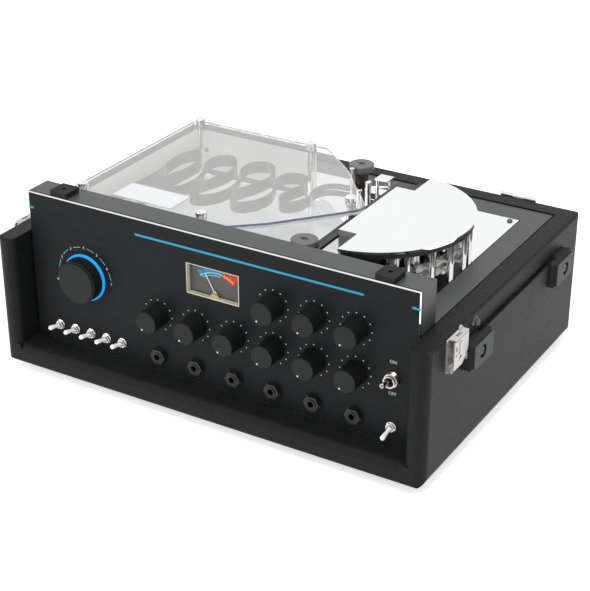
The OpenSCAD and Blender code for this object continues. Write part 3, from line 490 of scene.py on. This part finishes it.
def panel_print():
    """Everything printed on the panel, in one piece."""
    ink_on = Print(PANEL_Y - INK_OUT, [WHITE_INK, BLUE_INK, SKY_INK])
    for x0, x1 in STRIPE_RUNS:
        ink_on.bar(x0, x1, STRIPE_DROP, STRIPE_H, BLUE_INK)
    for name in KNOB_NAMES:
        c = centre_of(name)
        for k in range(DOTS):
            x, z = around(c.x, c.z, DOT_RING, 90 + DOT_SWING - 2 * DOT_SWING * k / (DOTS - 1))
            ink_on.dot(x, z, DOT_R, WHITE_INK)
    mode = centre_of("mode_knob")
    step = 180 / (MODE_STEPS - 1)
    for k in range(MODE_STEPS):
        angle = 180 - step * k
        x, z = around(mode.x, mode.z, MODE_RING, angle)
        ink_on.words(str(k + 1), x, z, MODE_FIGURE, WHITE_INK)
        if k:
            ink_on.band(mode.x, mode.z, MODE_RING - MODE_ARC_T / 2, MODE_RING + MODE_ARC_T / 2,
                        angle + MODE_ARC_GAP, angle + step - MODE_ARC_GAP, SKY_INK, steps=6)
    power = centre_of("power_lever")
    ink_on.words("ON", power.x, PANEL_TOP - ON_DROP, ON_OFF_SIZE, WHITE_INK)
    ink_on.words("OFF", power.x, PANEL_TOP - OFF_DROP, ON_OFF_SIZE, WHITE_INK)
    ink_on.done("panel_print", "case")


# Bare metal on the bevels of the panel's top and right edges, which catches the light: the
# bevel's width, as on the solid, and how far the metal lies over it
BEVEL, BEVEL_LIFT = 1.0 * MM, 0.05 * MM


def panel_bevels():
    """Thin bright lines on two of the panel's bevels."""
    bm = bmesh.new()
    x0, x1 = panel_low.x, panel_high.x
    z0, z1 = panel_low.z, panel_high.z
    front = PANEL_Y - BEVEL_LIFT
    back = front + BEVEL
    corner = (x1 - BEVEL, front, z1 - BEVEL)
    face_of(bm, [(x0 + BEVEL, front, z1 - BEVEL), corner,
                 (x1, back, z1 + BEVEL_LIFT), (x0, back, z1 + BEVEL_LIFT)])
    face_of(bm, [(x1 - BEVEL, front, z0 + BEVEL), (x1 + BEVEL_LIFT, back, z0),
                 (x1 + BEVEL_LIFT, back, z1), corner])
    piece("panel_bevels", mesh_of("panel_bevels", bm), [CHROME], "case")


# Meter dial: its face behind the panel's, the arcs' centre below the window, and the edges that
# cut its colours off
DIAL_FACE = PANEL_Y + 6.5 * MM
DIAL_X, DIAL_DROP = 1.2 * MM, 68.5 * MM
DIAL_TOP_DROP, DIAL_SIDE = 32.6 * MM, 27.2 * MM
# A blue band, and a red one where it ends, with their radii and angles
BLUE_IN, BLUE_OUT, BLUE_FROM = 29.6 * MM, 35.5 * MM, 128
RED_IN, RED_OUT, RED_FROM, RED_TO = 27.4 * MM, 44.0 * MM, 78, 50
# Over them the scale's arc, its orange end and a fine arc further in
ARC_LIFT = 0.05 * MM
ARC_IN, ARC_OUT = 29.6 * MM, 30.9 * MM
ORANGE_IN, ORANGE_FROM, ORANGE_TO = 29.4 * MM, 76, 53
FINE_IN, FINE_OUT, FINE_FROM, FINE_TO = 27.25 * MM, 27.95 * MM, 124, 80
# Ticks inside the arc and, in orange, outside it: how many, first angle, step, width
TICK_IN = 27.9 * MM
TICKS, TICK_FROM, TICK_STEP, TICK_W = 9, 124, 5.3, 0.3 * MM
END_TICK_OUT = 32.3 * MM
END_TICKS, END_TICK_FROM, END_TICK_STEP, END_TICK_W = 4, 74, 6, 0.4 * MM
# Figures with their angles, radius and size
FIGURES = [("20", 123), ("10", 112), ("5", 99), ("0", 85)]
FIGURE_R, FIGURE_SIZE = 33.0 * MM, 2.6 * MM
END_FIGURE, END_FIGURE_ANGLE = "3", 64
END_FIGURE_R, END_FIGURE_SIZE = 33.9 * MM, 3.0 * MM
# Short bars under the arcs, and a grey strip at the window's foot: the dial plate's lower edge with
# painted shadow under it
BAR_LENGTHS, BAR_X, BAR_PITCH = (5.0 * MM, 8.0 * MM, 4.0 * MM), -3.5 * MM, 6.5 * MM
BAR_DROP, BAR_H = 52.1 * MM, 0.4 * MM
FOOT_HALF, FOOT_DROP, FOOT_H = 27.8 * MM, 59.6 * MM, 0.6 * MM


def dial_edge(angle):
    """Distance from the arcs' centre to the dial's top or right edge."""
    right, up = around(0, 0, 1, angle)
    to_top = (DIAL_DROP - DIAL_TOP_DROP) / up
    if right <= 0:
        return to_top
    return min(to_top, (DIAL_SIDE - DIAL_X) / right)


def meter_dial():
    """The dial's colours, with arcs over them, and ticks, figures and bars on top."""
    dial = Print(DIAL_FACE - INK_OUT, [SKY_INK, BAND_INK, RED_INK, ORANGE_INK, GREY_INK])
    x, z = DIAL_X, PANEL_TOP - DIAL_DROP

    def band(inner, outer, start, end, look):
        dial.band(x, z, inner, outer, end, start, look, edge=dial_edge)

    band(BLUE_IN, BLUE_OUT, BLUE_FROM, RED_FROM, BAND_INK)
    band(RED_IN, RED_OUT, RED_FROM, RED_TO, RED_INK)
    dial.y -= ARC_LIFT
    band(ARC_IN, ARC_OUT, BLUE_FROM, RED_FROM, SKY_INK)
    band(FINE_IN, FINE_OUT, FINE_FROM, FINE_TO, SKY_INK)
    band(ORANGE_IN, ARC_OUT, ORANGE_FROM, ORANGE_TO, ORANGE_INK)
    dial.y = DIAL_FACE - 2 * INK_OUT
    for k in range(TICKS):
        dial.ray(x, z, TICK_IN, ARC_IN, TICK_FROM - TICK_STEP * k, TICK_W, SKY_INK)
    for k in range(END_TICKS):
        angle = END_TICK_FROM - END_TICK_STEP * k
        dial.ray(x, z, ARC_OUT, END_TICK_OUT, angle, END_TICK_W, ORANGE_INK)
    for text, angle in FIGURES:
        dial.words(text, *around(x, z, FIGURE_R, angle), FIGURE_SIZE, SKY_INK)
    end_place = around(x, z, END_FIGURE_R, END_FIGURE_ANGLE)
    dial.words(END_FIGURE, *end_place, END_FIGURE_SIZE, ORANGE_INK)
    for k, length in enumerate(BAR_LENGTHS):
        middle = BAR_X + BAR_PITCH * k
        dial.bar(middle - length / 2, middle + length / 2, BAR_DROP, BAR_H, BAND_INK)
    # A grey bar: the dial plate's lower edge, and the painted shadow under it.
    dial.bar(-FOOT_HALF, FOOT_HALF, FOOT_DROP, FOOT_H, GREY_INK)
    dial.done("meter_scale", "case")


# Brass half-round over the needle's foot, on a strip along the window's lower edge
BOSS_X, BOSS_DROP, BOSS_BACK = 0.6 * MM, 63.6 * MM, 2.6 * MM
BOSS_R, BOSS_DEPTH, BOSS_STEPS = 5.4 * MM, 1.4 * MM, 20
STRIP_HALF, STRIP_H, STRIP_JOIN = 12 * MM, 1.4 * MM, 0.2 * MM


def meter_boss():
    """The half-round and its strip, as one outline given a depth."""
    step = 180 / BOSS_STEPS
    join = around(0, 0, BOSS_R, step)[0] + STRIP_JOIN
    right = [(STRIP_HALF, 0.0), (STRIP_HALF, STRIP_H), (join, STRIP_H)]
    arc = [around(0, 0, BOSS_R, step * k) for k in range(2, BOSS_STEPS - 1)]
    left = [(-x, z) for x, z in reversed(right)]
    bm = bmesh.new()
    y, foot = PANEL_Y + BOSS_BACK, PANEL_TOP - BOSS_DROP
    face = face_of(bm, [(BOSS_X + x, y, foot + z) for x, z in right + arc + left])
    made = bmesh.ops.extrude_face_region(bm, geom=[face])
    moved = [part for part in made["geom"] if isinstance(part, bmesh.types.BMVert)]
    bmesh.ops.translate(bm, vec=(0, BOSS_DEPTH, 0), verts=moved)
    bmesh.ops.recalc_face_normals(bm, faces=bm.faces)
    piece("meter_boss", mesh_of("meter_boss", bm), [BRASS], "case")


# Pale walls of the tape tank under the clear cover's left, back and front edges: thickness,
# height, set-in from the cover's edge, and how far the front and back walls run
WALL_T, WALL_H, WALL_SET, WALL_RUN = 2.0 * MM, 22.5 * MM, 1.5 * MM, 152 * MM
# The grey gasket on top stays this far from the wall and from the cover
GASKET_OVER_WALL, GASKET_UNDER_COVER = 0.01 * MM, 0.1 * MM


def tank_walls():
    """The walls, from the deck up, and the gasket on top of them."""
    cover_low, cover_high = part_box("tank_cover")
    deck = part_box("deck_plate")[1].z
    x0, x1 = cover_low.x + WALL_SET, cover_low.x + WALL_SET + WALL_RUN
    y0, y1 = cover_low.y + WALL_SET, cover_high.y - WALL_SET
    outer = [(x1, y0), (x0, y0), (x0, y1), (x1, y1)]
    x_in, y0_in, y1_in = x0 + WALL_T, y0 + WALL_T, y1 - WALL_T
    inner = [(x1, y0_in), (x_in, y0_in), (x_in, y1_in), (x1, y1_in)]
    looks = [TANK_WALL, GASKET]
    bm = bmesh.new()

    def strip(z0, z1, look):
        """The walls' outline between two heights, as a solid of one look."""
        low_out, low_in, top_out, top_in = (
            [bm.verts.new((x, y, z)) for x, y in line] for z in (z0, z1) for line in (outer, inner))
        edges = [low_out, top_out, top_in, low_in]
        faces = [bm.faces.new([edge[k] for edge in edges]) for k in (0, -1)]
        for k in range(len(outer) - 1):
            for a, b in zip(edges, edges[1:] + edges[:1]):
                faces.append(bm.faces.new([a[k], a[k + 1], b[k + 1], b[k]]))
        for face in faces:
            face.material_index = looks.index(look)

    wall_top = deck + WALL_H
    strip(deck, wall_top, TANK_WALL)
    strip(wall_top + GASKET_OVER_WALL, cover_low.z - GASKET_UNDER_COVER, GASKET)
    bmesh.ops.recalc_face_normals(bm, faces=bm.faces)
    piece("tank_walls", mesh_of("tank_walls", bm), looks, "case")


# Tape: the solid's own run right of the cut, and wider loops left of it. The cut's
# x, the loops' (x, y) points and the lead further down are in millimetres.
TAPE_CUT = 0.0
TAPE_LOOPS = [
    (-12, 84), (-17, 68), (-13, 50), (-16, 33), (-27, 24), (-38, 33), (-37, 54), (-32, 74), (-36, 89),
    (-48, 95), (-61, 90), (-65, 74), (-57, 56), (-50, 36), (-53, 14), (-66, 0), (-80, 6), (-84, 26),
    (-77, 48), (-73, 70), (-79, 93), (-94, 105), (-109, 97), (-111, 78), (-101, 56), (-94, 34),
    (-97, 10), (-111, -6), (-126, 0), (-128, 22), (-121, 44), (-118, 66), (-124, 88), (-138, 100),
    (-152, 92), (-153, 72), (-143, 50), (-137, 28), (-141, 4), (-154, -12), (-168, -4), (-168, 18),
    (-162, 42), (-162, 66), (-168, 86), (-180, 93), (-189, 80), (-188, 52), (-181, 24), (-184, -8),
    (-188, -44), (-180, -76), (-156, -88), (-120, -90), (-60, -92),
]
# The ribbon's thickness, and the spline's steps from one point to the next
TAPE_T, TAPE_STEPS = 0.4 * MM, 8
# The loops lie this much lower than the solid's run, reached in so many steps from each end
SINK, SINK_STEPS = 0.5 * MM, 12
# The lead: a point past the cut at each end, which only gives the spline its direction there
LEAD_X, LEAD_TURN = 8, 2


def spline(points):
    """Smooth line through all points but the first and last (Catmull-Rom)."""
    line = []
    for a, b, c, d in zip(points, points[1:], points[2:], points[3:]):
        for k in range(TAPE_STEPS):
            t = k / TAPE_STEPS
            line.append(0.5 * (2 * b + (c - a) * t + (2 * a - 5 * b + 4 * c - d) * t * t
                               + (3 * b - a - 3 * c + d) * t ** 3))
    return line + [points[-2]]


def tape_ribbon():
    """The tape: the solid's mesh on the right, joined at the cut to the loops on the left."""
    low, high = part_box("tape_loop")
    bm = bmesh.new()
    bm.from_mesh(nodes["tape_loop"].data)
    every_part = bm.verts[:] + bm.edges[:] + bm.faces[:]
    cut = bmesh.ops.bisect_plane(bm, geom=every_part, plane_co=(TAPE_CUT * MM, 0, 0),
                                 plane_no=(-1, 0, 0), clear_outer=True)
    rim = [part for part in cut["geom_cut"] if isinstance(part, bmesh.types.BMEdge)]
    ys = sorted({round(v.co.y / MM, 2) for edge in rim for v in edge.verts})
    bmesh.ops.holes_fill(bm, edges=rim)
    front, back = sum(ys[:2]) / 2, sum(ys[-2:]) / 2
    route = [(LEAD_X, back - LEAD_TURN), (TAPE_CUT, back), *TAPE_LOOPS,
             (TAPE_CUT, front), (LEAD_X, front)]
    line = spline([Vector(point) * MM for point in route])
    last = len(line) - 1
    rings = []
    for k, here in enumerate(line):
        sunk = SINK * min(1.0, k / SINK_STEPS, (last - k) / SINK_STEPS)
        along = (line[min(k + 1, last)] - line[max(k - 1, 0)]).normalized()
        side = Vector((-along.y, along.x)) * TAPE_T / 2
        rings.append([bm.verts.new((*(here + side * way), z - sunk))
                      for way, z in ((-1, low.z), (1, low.z), (1, high.z), (-1, high.z))])
    for one, two in zip(rings, rings[1:]):
        for k in range(4):
            bm.faces.new([one[k], two[k], two[(k + 1) % 4], one[(k + 1) % 4]])
    bm.faces.new(rings[0][::-1])
    bm.faces.new(rings[-1])
    bmesh.ops.recalc_face_normals(bm, faces=bm.faces)
    made = piece("tape_ribbon", mesh_of("tape_ribbon", bm), [TAPE], "case")
    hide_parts("tape_loop")


# Blank label on the clear cover: its sides, measured from the panel's middle and face
LABEL_LEFT, LABEL_RIGHT, LABEL_FRONT, LABEL_BACK = -152.5 * MM, -80 * MM, 51 * MM, 87.5 * MM
# A thin grey border, made by three layers, each this far over the one below
LABEL_OUT, LAYER_OUT = 0.06 * MM, 0.03 * MM
BORDER_SET, BORDER_T = 0.6 * MM, 0.8 * MM


def cover_label():
    """White label with a border line, set in from its edge."""
    bm = bmesh.new()
    looks = [WHITE_INK, GREY_INK]
    layers = [(0.0, WHITE_INK), (BORDER_SET, GREY_INK), (BORDER_SET + BORDER_T, WHITE_INK)]
    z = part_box("tank_cover")[1].z + LABEL_OUT
    for inset, look in layers:
        x0, x1 = LABEL_LEFT + inset, LABEL_RIGHT - inset
        y0, y1 = PANEL_Y + LABEL_FRONT + inset, PANEL_Y + LABEL_BACK - inset
        face_of(bm, [(x0, y0, z), (x1, y0, z), (x1, y1, z), (x0, y1, z)], looks.index(look))
        z += LAYER_OUT
    piece("cover_label", mesh_of("cover_label", bm), looks, "cover")


# White dots let into the knobs' faces: depth, and how much narrower the front is than the back
POINTER_DEPTH, POINTER_TAPER, POINTER_SIDES = 0.3 * MM, 0.85, 20
# On a small knob and on the mode knob: radius, set-in from the knob's edge, and the depth of
# the dot's middle under the face
KNOB_DOT_R, KNOB_DOT_SET, KNOB_DOT_SUNK, KNOB_DOT_ANGLE = 1.0 * MM, 2.8 * MM, 0.13 * MM, -120
MODE_DOT_R, MODE_DOT_SET, MODE_DOT_SUNK = 0.95 * MM, 1.9 * MM, 0.1 * MM


def pointer(knob, x, z, y, r):
    """A dot that rides on the body of the knob's own name."""
    bm = bmesh.new()
    turn = Matrix.Translation((x, y, z)) @ Matrix.Rotation(pi / 2, 4, "X")
    bmesh.ops.create_cone(bm, cap_ends=True, segments=POINTER_SIDES, radius1=r,
                          radius2=r * POINTER_TAPER, depth=POINTER_DEPTH, matrix=turn)
    name = f"{knob}_dot"
    piece(name, mesh_of(name, bm), [WHITE_INK], knob)


def pointers():
    """A dot at the lower left of each small knob, and one at the left of the mode knob."""
    for name in KNOB_NAMES:
        low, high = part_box(name)
        c = centre_of(name)
        reach = (high.x - low.x) / 2 - KNOB_DOT_SET
        x, z = around(c.x, c.z, reach, KNOB_DOT_ANGLE)
        pointer(name, x, z, low.y + KNOB_DOT_SUNK, KNOB_DOT_R)
    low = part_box("mode_knob")[0]
    middle = centre_of("mode_knob").z
    pointer("mode_knob", low.x + MODE_DOT_SET, middle, low.y + MODE_DOT_SUNK, MODE_DOT_R)


panel_print()
panel_bevels()
meter_dial()
meter_boss()
tank_walls()
tape_ribbon()
cover_label()
pointers()


# ---- Stage ----

# The floor's reach from its middle, its own glow where it is seen, and the world's light on the object
FLOOR_REACH = 6.0
FLOOR_GLOW = 0.62
WORLD_LIGHT = 0.62


def stage_floor():
    """Flat pale floor that looks white where it is seen and keeps the object's shadow."""
    bm = bmesh.new()
    bmesh.ops.create_grid(bm, x_segments=1, y_segments=1, size=FLOOR_REACH)
    mesh = mesh_of("floor", bm)
    floor = bpy.data.objects.new("floor", mesh)
    bpy.context.scene.collection.objects.link(floor)
    s = Surface("floor_paper", (0.9, 0.9, 0.9), 0.9, Specular_IOR_Level=0.0, Emission_Color=WHITE)
    s.mottle(s.noise(2.0), 0.004)
    glow = map_range(s.tree, seen_rays(s.tree), (0.0, 1.0), (0.0, FLOOR_GLOW))
    s.link(glow, s.shader.inputs["Emission Strength"])
    mesh.materials.append(s.material)


def white_world():
    """White where it is seen or mirrored, and a softer light on the object."""
    world = bpy.data.worlds.new("studio")
    bpy.context.scene.world = world
    world.use_nodes = True
    tree = world.node_tree
    back = tree.nodes["Background"]
    back.inputs["Color"].default_value = WHITE
    level = map_range(tree, seen_rays(tree), (0.0, 1.0), (WORLD_LIGHT, 1.0))
    tree.links.new(level, back.inputs["Strength"])


def area_light(name, place, aim, size, power):
    data = bpy.data.lights.new(name, "AREA")
    data.shape, data.size, data.energy = "DISK", size, power
    lamp = bpy.data.objects.new(name, data)
    lamp.location = place
    lamp.rotation_euler = (Vector(aim) - Vector(place)).to_track_quat("-Z", "Y").to_euler()
    bpy.context.scene.collection.objects.link(lamp)


stage_floor()
white_world()
area_light("key", place=(0.3, -0.5, 1.6), aim=(0, 0, 0.1), size=1.0, power=11.0)
area_light("fill", place=(-1.1, -1.3, 0.9), aim=(0, -0.1, 0.1), size=0.8, power=6.0)


# ---- Camera: the photograph's view ----

CAMERA_AT = Vector((0.7096, -1.19125, 0.7728))
CAMERA_FORWARD = Vector((-0.4553, 0.7650, -0.4555))
# The focal length in pixels of a frame whose longer side, its height, is 591 pixels
FOCAL_PX, PHOTO_H, SENSOR = 1531.07, 591, 36.0


def photo_camera():
    data = bpy.data.cameras.new("photo")
    data.sensor_width = SENSOR
    data.lens = FOCAL_PX * SENSOR / PHOTO_H
    camera = bpy.data.objects.new("photo", data)
    camera.location = CAMERA_AT
    camera.rotation_euler = CAMERA_FORWARD.to_track_quat("-Z", "Y").to_euler()
    bpy.context.scene.collection.objects.link(camera)
    bpy.context.scene.camera = camera


photo_camera()
bpy.context.scene.view_settings.view_transform = "Standard"
